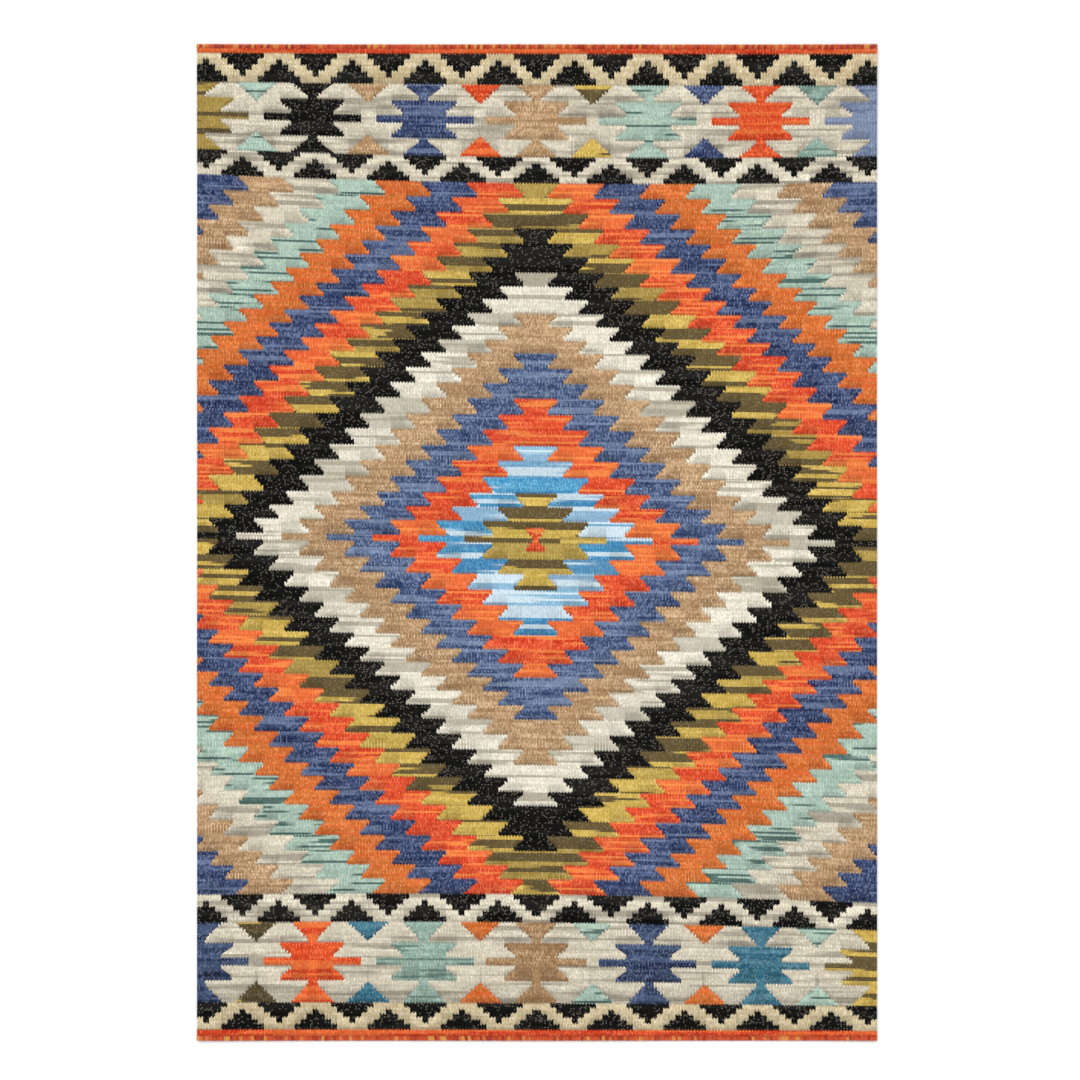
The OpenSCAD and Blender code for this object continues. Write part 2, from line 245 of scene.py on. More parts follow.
class BeadLattice(Effect):
    """The beads of weft on the ribs: a bead is two picks tall, and staggered from one rib to the next."""

    name = "bead_lattice"
    inputs = {"Weave": "Vector"}
    outputs = {"Tone": "Float", "Accent": "Float", "Height": "Float", "Speck": "Float", "ValleyShade": "Float"}
    yarn_ribs = 34.0
    pick_apart = 3.71
    own_share = 0.62
    yarn_share = 0.6
    contrast = 1.5

    @classmethod
    def wire(cls, w: Wiring, entry: bpy.types.NodeOutputs) -> dict[str, Socket]:
        """Numbers ribs and beads by the whole parts of the weave place; each bead swells along the warp.

        Args:
            w: Adds nodes to the group.
            entry: The group's inputs; Weave counts ribs along X and picks along Y.

        Returns:
            Tone joins a bead's own shade with that of its pick's yarn, Accent is random to each bead, Height
            is its swell with the ply's slanted ridges, Speck is where a pale warp shows between beads, and
            Valley is the groove between ribs.
        """
        place = w.node("SeparateXYZ", entry["Weave"]).outputs
        rib = w.math("FLOOR", place[0])
        odd = w.math("MODULO", rib, 2.0)
        run = w.math("DIVIDE", w.math("ADD", place[1], odd), 2.0)
        bead = w.math("FLOOR", run)
        across = w.math("MULTIPLY_ADD", w.math("SUBTRACT", place[0], rib), 2.0, -1.0)
        along = w.math("MULTIPLY_ADD", w.math("SUBTRACT", run, bead), 2.0, -1.0)
        own = w.node("CombineXYZ", rib, bead, 0.0).outputs[0]
        pick = w.math("SUBTRACT", w.math("MULTIPLY", bead, 2.0), odd)
        along_pick = w.node(
            "CombineXYZ",
            w.math("DIVIDE", place[0], cls.yarn_ribs),
            w.math("MULTIPLY", pick, cls.pick_apart),
            5.0,
        )
        yarn = w.node("TexNoise", along_pick.outputs[0], noise_dimensions="3D", normalize=True)
        yarn.inputs["Scale"].default_value = 1.0
        yarn.inputs["Detail"].default_value = 1.0
        random = w.node("TexWhiteNoise", own, noise_dimensions="3D")
        accent = w.node("SeparateColor", random.outputs["Color"]).outputs
        swell = w.math("SQRT", w.math("SUBTRACT", 1.02, w.math("POWER", w.math("ABSOLUTE", along), 2.4)))
        turn = w.math("ADD", w.math("MULTIPLY", across, 5.0), w.math("MULTIPLY", along, 6.5))
        ply = w.math("SINE", turn)
        height = w.math("ADD", swell, w.math("MULTIPLY", ply, 0.16))
        end = w.step(along, 0.4, 0.7)
        middle = w.step(w.math("ABSOLUTE", across), 0.85, 0.5)
        bare = w.step(accent[0], 0.76, 0.82)
        speck = w.math("MULTIPLY", w.math("MULTIPLY", end, middle), bare)
        # Painted shade mask: 0 on the rib's crown and 1 at its sides, where the wool darkens the groove
        # between ribs.
        valley_shade = w.step(w.math("ABSOLUTE", across), 0.55, 1.0)
        uneven = w.math("MULTIPLY_ADD", w.step(yarn.outputs[0], 0.3, 0.7), cls.yarn_share, -0.11)
        tone = w.math("MULTIPLY_ADD", random.outputs["Value"], cls.own_share, uneven, clamp=True)
        tone = w.math("POWER", tone, cls.contrast)
        return {
            "Tone": tone,
            "Accent": accent[1],
            "Height": height,
            "Speck": speck,
            "ValleyShade": valley_shade,
        }


class Abrash(Effect):
    """Stripes where the weaver changed to another lot of yarn, straight along the weft."""

    name = "abrash"
    inputs = {
        "Weave": "Vector",
        "Lot": "Float",
        "Length": "Float",
        "Thickness": "Float",
        "Level": "Float",
        "Softness": "Float",
    }
    outputs = {"Stripe": "Float", "Drift": "Float", "Row": "Float", "Shade": "Float"}

    @classmethod
    def wire(cls, w: Wiring, entry: bpy.types.NodeOutputs) -> dict[str, Socket]:
        """Noise over (ribs / length, picks / thickness, lot), cut at a level.

        Args:
            w: Adds nodes to the group.
            entry: The group's inputs.

        Returns:
            Stripe is 1 inside a stripe, Drift is a slower, soft change from 0 to 1, Row is 1 where the whole
            row is of the other lot, and Shade is random to each row.
        """
        place = w.node("SeparateXYZ", entry["Weave"]).outputs
        pair = w.math("MULTIPLY", w.math("FLOOR", w.math("DIVIDE", place[1], 2.0)), 2.0)
        depth = w.math("MULTIPLY", entry["Lot"], 7.37)
        where = w.node(
            "CombineXYZ",
            w.math("DIVIDE", place[0], entry["Length"]),
            w.math("DIVIDE", pair, entry["Thickness"]),
            depth,
        ).outputs[0]
        noise = w.node("TexNoise", where, noise_dimensions="3D", normalize=True)
        noise.inputs["Scale"].default_value = 1.0
        noise.inputs["Detail"].default_value = 0.6
        high = w.math("ADD", entry["Level"], entry["Softness"])
        stripe = w.step(noise.outputs[0], entry["Level"], high)
        slow = w.node(
            "CombineXYZ",
            w.math("DIVIDE", place[0], 90.0),
            w.math("DIVIDE", pair, 16.0),
            w.math("ADD", depth, 31.4),
        ).outputs[0]
        drift = w.node("TexNoise", slow, noise_dimensions="3D", normalize=True)
        drift.inputs["Scale"].default_value = 1.0
        drift.inputs["Detail"].default_value = 1.5
        chance = w.node("TexWhiteNoise", None, entry["Lot"], noise_dimensions="1D")
        return {
            "Stripe": stripe,
            "Drift": w.step(drift.outputs[0], 0.25, 0.75),
            "Row": w.step(chance.outputs["Value"], 0.66, 0.78),
            "Shade": w.node("SeparateColor", chance.outputs["Color"]).outputs[2],
        }


class WoolGrain(Effect):
    """The loose fibres of spun wool, at a fibre's scale and at a hand's."""

    name = "wool_grain"
    inputs = {"Place": "Vector"}
    outputs = {"Fibre": "Float", "Mottle": "Float"}

    @classmethod
    def wire(cls, w: Wiring, entry: bpy.types.NodeOutputs) -> dict[str, Socket]:
        """Two noises of the place: one stretched along the weft, under a millimetre, one of centimetres.

        Args:
            w: Adds nodes to the group.
            entry: The group's input, a place in metres.

        Returns:
            Fibre and Mottle, each from 0 to 1.
        """
        stretched = w.node("VectorMath", entry["Place"], (900.0, 2600.0, 2600.0), operation="MULTIPLY")
        fibre = w.node("TexNoise", stretched.outputs[0], noise_dimensions="3D")
        fibre.inputs["Scale"].default_value = 1.0
        fibre.inputs["Detail"].default_value = 2.0
        mottle = w.node("TexNoise", entry["Place"], noise_dimensions="3D")
        mottle.inputs["Scale"].default_value = 34.0
        mottle.inputs["Detail"].default_value = 3.0
        return {"Fibre": fibre.outputs[0], "Mottle": w.step(mottle.outputs[0], 0.3, 0.7)}


# ------------------------------------------------------------------- finishes


@dataclass(frozen=True)
class Wool:
    """One colour of woven wool: its yarns from dark to light, and the stripes of other lots in it."""

    name: str
    dark: tuple[float, float, float]
    light: tuple[float, float, float]
    stripe: tuple[float, float, float]
    drift: tuple[float, float, float]
    stripe_share: float = 0.0
    stripe_level: float = 0.52
    stripe_soft: float = 0.02
    stripe_picks: float = 5.0
    stripe_ribs: float = 160.0
    drift_share: float = 0.35
    row_share: float = 0.0
    speck: tuple[float, float, float] = (215, 205, 180)
    speck_share: float = 0.4
    roughness: float = 0.86
    sheen: float = 0.04

    def material(self) -> bpy.types.Material:
        """Builds the wool: beads from dark to light, stripes, drift, warp specks, and painted shade in the
        grooves between ribs.

        Returns:
            The material.
        """
        made = bpy.data.materials.new(self.name)
        made.use_nodes = True
        tree = made.node_tree
        w, shader = Wiring(tree), tree.nodes["Principled BSDF"]
        weave = w.node("UVMap", uv_map=WEAVE_MAP).outputs[0]
        lot = w.node("Attribute", attribute_name=LOT).outputs["Fac"]
        place = w.node("TexCoord").outputs["Object"]
        beads = w.group(BeadLattice.tree(), Weave=weave).outputs
        lots = w.group(
            Abrash.tree(),
            Weave=weave,
            Lot=lot,
            Length=self.stripe_ribs,
            Thickness=self.stripe_picks,
            Level=self.stripe_level,
            Softness=self.stripe_soft,
        ).outputs
        grain = w.group(WoolGrain.tree(), Place=place).outputs
        tone = w.math(
            "ADD", w.math("MULTIPLY", beads["Tone"], 0.86), w.math("MULTIPLY", grain["Mottle"], 0.14)
        )
        yarn = w.mix(tone, dye(*self.dark), dye(*self.light))
        yarn = w.mix(w.math("MULTIPLY", lots["Drift"], self.drift_share), yarn, dye(*self.drift))
        yarn = w.mix(w.math("MULTIPLY", lots["Stripe"], self.stripe_share), yarn, dye(*self.stripe))
        yarn = w.mix(w.math("MULTIPLY", lots["Row"], self.row_share), yarn, dye(*self.stripe))
        lot_shade = w.math("MULTIPLY_ADD", lots["Shade"], 0.12, 0.94)
        shade = w.math("MULTIPLY", w.math("MULTIPLY_ADD", beads["Accent"], 0.2, 0.96), lot_shade)
        # Painted shade: the colour is darkened by up to 22 % in the groove between ribs.
        groove = w.math("MULTIPLY_ADD", beads["ValleyShade"], -0.22, 1.0)
        depth = w.math(
            "MULTIPLY", w.math("MULTIPLY", shade, groove), w.math("MULTIPLY_ADD", grain["Fibre"], 0.3, 0.85)
        )
        yarn = w.node("VectorMath", yarn, None, None, depth, operation="SCALE").outputs[0]
        yarn = w.mix(w.math("MULTIPLY", beads["Speck"], self.speck_share), yarn, dye(*self.speck))
        tree.links.new(yarn, shader.inputs["Base Color"])
        rough = w.math("MULTIPLY_ADD", grain["Fibre"], 0.14, self.roughness - 0.07)
        tree.links.new(rough, shader.inputs["Roughness"])
        shader.inputs["Specular IOR Level"].default_value = 0.06
        shader.inputs["Sheen Weight"].default_value = self.sheen
        shader.inputs["Sheen Roughness"].default_value = 0.55
        relief = w.math(
            "ADD", w.math("MULTIPLY", beads["Height"], 0.5), w.math("MULTIPLY", grain["Fibre"], 0.22)
        )
        bump = w.node("Bump")
        bump.inputs["Strength"].default_value = 0.85
        bump.inputs["Distance"].default_value = 0.0009
        tree.links.new(relief, bump.inputs["Height"])
        tree.links.new(bump.outputs[0], shader.inputs["Normal"])
        return made


@dataclass(frozen=True)
class Cotton:
    """Undyed twisted cotton, for the warps and the rolls that their ends are turned into."""

    name: str = "cotton_twist"
    dark: tuple[float, float, float] = (172, 160, 136)
    light: tuple[float, float, float] = (226, 218, 198)
    twist: float = 0.0024

    def material(self) -> bpy.types.Material:
        """Builds the cotton: slanted plies along the yarn's length, darker in the grooves between them as
        painted shade, with fibre noise.

        Returns:
            The material.
        """
        made = bpy.data.materials.new(self.name)
        made.use_nodes = True
        tree = made.node_tree
        w, shader = Wiring(tree), tree.nodes["Principled BSDF"]
        yarn = w.node("SeparateXYZ", w.node("UVMap", uv_map=WEAVE_MAP).outputs[0]).outputs
        turns = w.math("ADD", w.math("DIVIDE", yarn[1], self.twist), w.math("MULTIPLY", yarn[0], 2.0))
        ply = w.math("ABSOLUTE", w.math("SINE", w.math("MULTIPLY", turns, math.pi)))
        grain = w.group(WoolGrain.tree(), Place=w.node("TexCoord").outputs["Object"]).outputs
        # Painted shade with real grain: the colour is darker in the grooves between plies, and varies with
        # the fibre noise.
        tone = w.math(
            "MULTIPLY",
            w.math("MULTIPLY_ADD", ply, 0.6, 0.4),
            w.math("MULTIPLY_ADD", grain["Fibre"], 0.5, 0.6),
        )
        tree.links.new(w.mix(tone, dye(*self.dark), dye(*self.light)), shader.inputs["Base Color"])
        rough = w.math("MULTIPLY_ADD", grain["Fibre"], 0.1, 0.82)
        tree.links.new(rough, shader.inputs["Roughness"])
        shader.inputs["Specular IOR Level"].default_value = 0.2
        bump = w.node("Bump")
        bump.inputs["Strength"].default_value = 0.8
        bump.inputs["Distance"].default_value = 0.0004
        tree.links.new(w.math("ADD", ply, w.math("MULTIPLY", grain["Fibre"], 0.4)), bump.inputs["Height"])
        tree.links.new(bump.outputs[0], shader.inputs["Normal"])
        return made


@dataclass(frozen=True)
class StitchWool:
    """The thick red wool of the overcast stitches, whose strands run from red to a golden orange."""

    name: str = "wool_overcast"
    deep: tuple[float, float, float] = (176, 62, 36)
    red: tuple[float, float, float] = (222, 92, 52)
    gold: tuple[float, float, float] = (236, 162, 84)

    def material(self) -> bpy.types.Material:
        """Builds the stitch wool: each strand has its own colour, with slanted plies along it, darker in the
        grooves between plies as painted shade.

        Returns:
            The material.
        """
        made = bpy.data.materials.new(self.name)
        made.use_nodes = True
        tree = made.node_tree
        w, shader = Wiring(tree), tree.nodes["Principled BSDF"]
        strand = w.node("Attribute", attribute_name=STRAND).outputs["Fac"]
        yarn = w.node("SeparateXYZ", w.node("UVMap", uv_map=WEAVE_MAP).outputs[0]).outputs
        turns = w.math("ADD", w.math("DIVIDE", yarn[1], 0.0032), w.math("MULTIPLY", yarn[0], 2.0))
        ply = w.math("ABSOLUTE", w.math("SINE", w.math("MULTIPLY", turns, math.pi)))
        grain = w.group(WoolGrain.tree(), Place=w.node("TexCoord").outputs["Object"]).outputs
        colour = w.mix(w.step(strand, 0.0, 0.45), dye(*self.deep), dye(*self.red))
        colour = w.mix(w.step(strand, 0.62, 0.98), colour, dye(*self.gold))
        # Painted shade with real grain: darker in the grooves between plies, and varied by the fibre noise.
        shade = w.math(
            "MULTIPLY",
            w.math("MULTIPLY_ADD", ply, 0.3, 0.74),
            w.math("MULTIPLY_ADD", grain["Fibre"], 0.4, 0.8),
        )
        colour = w.node("VectorMath", colour, None, None, shade, operation="SCALE").outputs[0]
        tree.links.new(colour, shader.inputs["Base Color"])
        rough = w.math("MULTIPLY_ADD", grain["Fibre"], 0.14, 0.8)
        tree.links.new(rough, shader.inputs["Roughness"])
        shader.inputs["Specular IOR Level"].default_value = 0.06
        shader.inputs["Sheen Weight"].default_value = 0.04
        shader.inputs["Sheen Roughness"].default_value = 0.55
        bump = w.node("Bump")
        bump.inputs["Strength"].default_value = 0.8
        bump.inputs["Distance"].default_value = 0.0006
        tree.links.new(w.math("ADD", ply, w.math("MULTIPLY", grain["Fibre"], 0.5)), bump.inputs["Height"])
        tree.links.new(bump.outputs[0], shader.inputs["Normal"])
        return made


BLACK = Wool(
    "wool_black", (5, 5, 5), (34, 33, 31), (52, 50, 47), (22, 22, 20),
    stripe_share=0.3, speck=(180, 172, 154), speck_share=0.7, drift_share=0.2, sheen=0.0,
)
BEIGE = Wool(
    "wool_beige", (176, 156, 116), (232, 220, 190), (166, 144, 104), (214, 200, 164),
    stripe_share=0.35, stripe_level=0.56, stripe_soft=0.08,
)
GREY_IVORY = Wool(
    "wool_grey_ivory", (188, 179, 158), (246, 239, 221), (146, 138, 122), (204, 195, 174),
    stripe_share=0.75, stripe_level=0.51, stripe_soft=0.14, stripe_picks=5, stripe_ribs=80, drift_share=0.5,
)
IVORY = Wool(
    "wool_ivory", (202, 195, 176), (252, 248, 234), (168, 161, 142), (232, 226, 208),
    stripe_share=0.8, stripe_level=0.55, stripe_soft=0.05, stripe_picks=5, stripe_ribs=110, row_share=0.55,
)
RED = Wool(
    "wool_red", (192, 44, 24), (248, 120, 72), (246, 156, 78), (222, 74, 42),
    stripe_share=0.6, stripe_level=0.53, stripe_soft=0.1, stripe_picks=2.5, stripe_ribs=50, row_share=0.3,
)
END_RED = Wool("wool_end_red", (176, 36, 14), (242, 108, 60), (236, 128, 60), (206, 66, 34), stripe_share=0.4)
BRICK = Wool(
    "wool_brick",
    (192, 40, 14),
    (250, 124, 66),
    (240, 140, 70),
    (216, 74, 34),
    stripe_share=0.45,
    stripe_soft=0.08,
)
ORANGE = Wool(
    "wool_orange", (184, 88, 26), (242, 148, 82), (222, 88, 44), (202, 108, 54),
    stripe_share=0.4, stripe_level=0.58, stripe_soft=0.05, stripe_picks=2.5, stripe_ribs=70,
)
MUSTARD = Wool(
    "wool_mustard", (182, 150, 60), (232, 206, 120), (92, 78, 50), (204, 174, 82),
    stripe_share=0.95, stripe_level=0.52, stripe_soft=0.012, stripe_picks=9, stripe_ribs=200, row_share=0.4,
)
NAVY = Wool(
    "wool_navy", (6, 18, 60), (112, 130, 172), (126, 142, 174), (30, 46, 90),
    stripe_share=0.5, stripe_level=0.56, stripe_soft=0.08, stripe_picks=4, stripe_ribs=90,
)
SLATE = Wool(
    "wool_slate", (16, 36, 82), (132, 152, 186), (142, 160, 188), (58, 80, 124),
    stripe_share=0.5, stripe_level=0.55, stripe_soft=0.08, stripe_picks=4, stripe_ribs=90,
)
LIGHT_BLUE = Wool(
    "wool_light_blue", (50, 134, 182), (122, 194, 222), (208, 224, 232), (50, 114, 166),
    stripe_share=0.9, stripe_level=0.52, stripe_soft=0.04, stripe_picks=5, stripe_ribs=240,
    drift_share=0.8, row_share=0.35,
)
AQUA = Wool(
    "wool_aqua", (146, 172, 156), (200, 220, 207), (48, 86, 82), (168, 190, 176),
    stripe_share=0.85, stripe_level=0.59, stripe_soft=0.04, stripe_picks=2.2, stripe_ribs=60,
)
SEA = Wool(
    "wool_sea", (118, 146, 134), (186, 210, 198), (88, 114, 104), (148, 174, 162),
    stripe_share=0.7, stripe_level=0.57, stripe_soft=0.05, stripe_picks=3, stripe_ribs=70,
)
TEAL = Wool("wool_teal", (20, 72, 96), (86, 142, 160), (106, 154, 170), (42, 96, 116), stripe_share=0.3)
TAN = Wool(
    "wool_tan", (144, 106, 68), (232, 202, 162), (146, 110, 74), (188, 152, 112),
    stripe_share=0.45, stripe_level=0.54, stripe_soft=0.08, stripe_picks=4, stripe_ribs=90,
)
DEEP_TAN = Wool(
    "wool_deep_tan", (134, 96, 60), (212, 180, 142), (140, 106, 70), (164, 128, 90), stripe_share=0.45
)
DEEP_NAVY = Wool("wool_deep_navy", (0, 8, 40), (94, 112, 150), (90, 108, 142), (18, 30, 66), stripe_share=0.4)
PALE_NAVY = Wool(
    "wool_pale_navy", (78, 92, 126), (140, 154, 178), (146, 158, 182), (98, 112, 140), stripe_share=0.4
)
OLIVE = Wool(
    "wool_olive", (62, 52, 30), (110, 96, 66), (196, 164, 84), (84, 72, 46),
    stripe_share=0.9, stripe_level=0.62, stripe_soft=0.02, stripe_ribs=40,
)
COTTON = Cotton()
STITCH = StitchWool()


# ------------------------------------------------------------------ the design


def level(node: str, edge: int) -> float:
    """Where a CAD node starts or ends along Y.

    Args:
        node: The node's name.
        edge: 0 for its lowest y and 1 for its highest.

    Returns:
        The y, in metres.
    """
    return float(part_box(node)[edge].y)


@dataclass(frozen=True)
class Strip:
    """A band of the design across the cloth, from its inner edge to its outer edge."""

    inner: float
    outer: float

    @property
    def height(self) -> float:
        """The band's height."""
        return abs(self.outer - self.inner)

    @property
    def middle(self) -> float:
        """The band's middle line."""
        return (self.inner + self.outer) / 2

    def holds(self, y: Array) -> Array:
        """Which places lie in the band."""
        return (y >= min(self.inner, self.outer)) & (y < max(self.inner, self.outer))


@dataclass(frozen=True)
class GuardBand(Strip):
    """A band of stepped triangles whose points interlock: one set stands on each edge."""

    outward_at: float
    pitch: float = 0.170
    step_width: float = 0.0145
    tip_gap: float = 0.015
    steps: int = 4

    def triangles(self, x: Array, y: Array) -> Array:
        """Which places lie in a stepped triangle.

        The level is the height above the base over one step's height, and the half width is
        (steps - level - 1/2) step widths about the nearest centre.

        Args:
            x: Places across the cloth.
            y: Places along the cloth.

        Returns:
            A mask.
        """
        rise = (self.height - self.tip_gap) / self.steps
        inside = np.zeros(np.broadcast(x, y).shape, bool)
        for base, phase in ((self.inner, self.outward_at), (self.outer, 0.5 - self.outward_at)):
            step = np.floor(np.abs(y - base) / rise)
            half = (self.steps - step - 0.5) * self.step_width
            near = x - self.pitch * (np.round(x / self.pitch - phase) + phase)
            inside |= (step < self.steps) & (np.abs(near) < half)
        return inside & self.holds(y)


@dataclass(frozen=True)
class MedallionBand(Strip):
    """A band of hooked medallions with pairs of small triangles between them."""

    pitch: float = 0.259
    bar: tuple[float, float] = (0.114, 0.008)
    waist: tuple[float, float] = (0.043, 0.011)
    shoulder: tuple[float, float] = (0.083, 0.043)
    neck: tuple[float, float] = (0.009, 0.050)
    cap: float = 0.050
    fill: tuple[float, float] = (0.049, 0.046)

    def medallions(self, x: Array, y: Array) -> tuple[Array, Array]:
        """Which places lie in a medallion, and which medallion is nearest.

        The half width is constant over the bar and the waist, grows evenly to the shoulder, is the
        neck's above it, and grows evenly to the cap at the band's edge.

        Args:
            x: Places across the cloth.
            y: Places along the cloth.

        Returns:
            The mask, and the medallion's number from the middle.
        """
        number = np.round(x / self.pitch)
        away = np.abs(y - self.middle)
        up = [0.0, self.bar[1], self.bar[1], self.waist[1], self.shoulder[1], self.shoulder[1], self.neck[1]]
        half = [
            self.bar[0],
            self.bar[0],
            self.waist[0],
            self.waist[0],
            self.shoulder[0],
            self.neck[0],
            self.neck[0],
        ]
        profile = np.interp(away, [*up, self.height / 2], [*half, self.cap])
        inside = self.holds(y) & (np.abs(x - number * self.pitch) < profile)
        return inside, np.broadcast_to(number, inside.shape)

    def fills(self, x: Array, y: Array) -> tuple[Array, Array]:
        """Which places lie in a small triangle, narrowing evenly to its tip, and which pair is nearest.

        Args:
            x: Places across the cloth.
            y: Places along the cloth.

        Returns:
            The mask, and the pair's number from the middle, a half for the first.
        """
        number = np.floor(x / self.pitch) + 0.5
        down = self.height / 2 - np.abs(y - self.middle)
        half = self.fill[0] * (1 - down / self.fill[1])
        inside = self.holds(y) & (down < self.fill[1]) & (np.abs(x - number * self.pitch) < half)
        return inside, np.broadcast_to(number, inside.shape)


@dataclass(frozen=True)
class Diamonds:
    """The field: nested diamonds in saw-toothed rows, three rows of weaving in each colour."""

    low: float
    high: float
    shift: float = -0.003
    middle_row: float = 0.016
    row_step: float = 0.0352
    slant: float = 0.0352
    peak: float = 0.0563
    hourglass: tuple[float, float, float] = (0.026, 0.004, 0.027)
    rows_per_band: int = 3
    far_beat: tuple[float, ...] = (100, 109, 110, 105, 92, 96, 102, 106)
    near_beat: tuple[float, ...] = (110, 104, 99, 97, 105, 94, 107, 98)

    @property
    def middle(self) -> float:
        """The middle line, which shares the field out by the beats of its two halves."""
        near, far = sum(self.near_beat), sum(self.far_beat)
        return self.low + (self.high - self.low) * near / (near + far)

    def rows(self, end: End) -> Array:
        """How far from the middle line each row ends, from the thin middle row outwards.

        Args:
            end: Which half of the field.

        Returns:
            The distances: each band's share of the room, cut into equal rows and summed.
        """
        beat = np.array(self.far_beat if end is End.FAR else self.near_beat, float)
        room = (self.high - self.middle if end is End.FAR else self.middle - self.low) - self.middle_row / 2
        rows = np.repeat(beat / beat.sum() * room / self.rows_per_band, self.rows_per_band)
        return self.middle_row / 2 + np.concatenate([[0.0], np.cumsum(rows)])

    def rings(self, x: Array, y: Array) -> tuple[Array, Array]:
        """Which diamond each place is in, and which row.

        In row j, at the share f of its height, diamond k reaches peak + band (k + 1) - step j - slant (1 - f)
        to each side, so k is the first whole number past that line, and at least the row's own band.

        Args:
            x: Places across the cloth.
            y: Places along the cloth.

        Returns:
            The diamond's number, -1 in the hourglass, and a number of its own for each row of each arm.
        """
        across, up = np.abs(x - self.shift), y - self.middle
        ring = np.zeros(np.broadcast(x, y).shape)
        lots = np.zeros(ring.shape)
        band = self.rows_per_band * self.row_step
        for end in End:
            ends = self.rows(end)
            away = np.clip(up * end.value, 0, ends[-1] - 1e-6)
            row = np.searchsorted(ends, away, side="right")
            share = np.where(
                row > 0, (away - ends[np.maximum(row - 1, 0)]) / np.diff(ends, prepend=0)[row], 1.0
            )
            reach = self.peak + band - self.row_step * row - np.where(row > 0, self.slant * (1 - share), 0.0)
            found = np.floor((across - reach) / band) + 1
            found = np.maximum(found, np.ceil(row / self.rows_per_band) - 1)
            here = (up * end.value >= 0) & (found >= 0)
            ring = np.where(here, np.maximum(found, 0), ring)
            apart = (row <= self.rows_per_band * found) & (x > self.shift)
            lots = np.where(here, row * 4 + (end.value + 1) + apart, lots)
        half, waist, tall = self.hourglass
        glass = (np.abs(up) < tall) & (across < waist + (half - waist) * np.abs(up) / tall)
        return np.where(glass, -1, ring), lots


@dataclass(frozen=True)
class Patch:
    """One coloured part of the cloth: the CAD node that it stands for, and its wool."""

    node: str
    wool: Wool


FIELD = (
    Patch("field_centre_hourglass", RED),
    Patch("field_centre_mustard", MUSTARD),
    Patch("field_light_blue", LIGHT_BLUE),
    Patch("field_inner_red", RED),
    Patch("field_inner_navy", SLATE),
    Patch("field_inner_tan", TAN),
    Patch("field_ivory", IVORY),
    Patch("field_black", BLACK),
    Patch("field_outer_mustard", MUSTARD),
    Patch("field_outer_red", RED),
    Patch("field_outer_navy", NAVY),
    Patch("field_orange", ORANGE),
    Patch("field_aqua", AQUA),
    Patch("field_grey", GREY_IVORY),
    Patch("field_outer_tan", TAN),
    Patch("field_corner_navy", NAVY),
)
FAR_MEDALLIONS = (
    Patch("medallion_far_mustard", MUSTARD),
    Patch("medallion_far_black", BLACK),
    Patch("medallion_far_navy", NAVY),
    Patch("medallion_far_tan", TAN),
    Patch("medallion_far_aqua", AQUA),
    Patch("medallion_far_red", BRICK),
    Patch("medallion_far_navy_right", PALE_NAVY),
)
NEAR_MEDALLIONS = (
    Patch("medallion_near_navy_left", DEEP_NAVY),
    Patch("medallion_near_red", BRICK),
    Patch("medallion_near_aqua", SEA),
    Patch("medallion_near_tan", DEEP_TAN),
    Patch("medallion_near_navy", DEEP_NAVY),
    Patch("medallion_near_teal", TEAL),
    Patch("medallion_near_mustard", MUSTARD),
)
FAR_FILLS = (
    Patch("fill_far_aqua_left", AQUA),
    Patch("fill_far_tan", TAN),
    Patch("fill_far_red", BRICK),
    Patch("fill_far_mustard", MUSTARD),
    Patch("fill_far_navy", NAVY),
    Patch("fill_far_aqua", SEA),
)
NEAR_FILLS = (
    Patch("fill_near_mustard", OLIVE),
    Patch("fill_near_teal", TEAL),
    Patch("fill_near_orange", ORANGE),
    Patch("fill_near_aqua", AQUA),
    Patch("fill_near_orange", ORANGE),
    Patch("fill_near_aqua", AQUA),
)


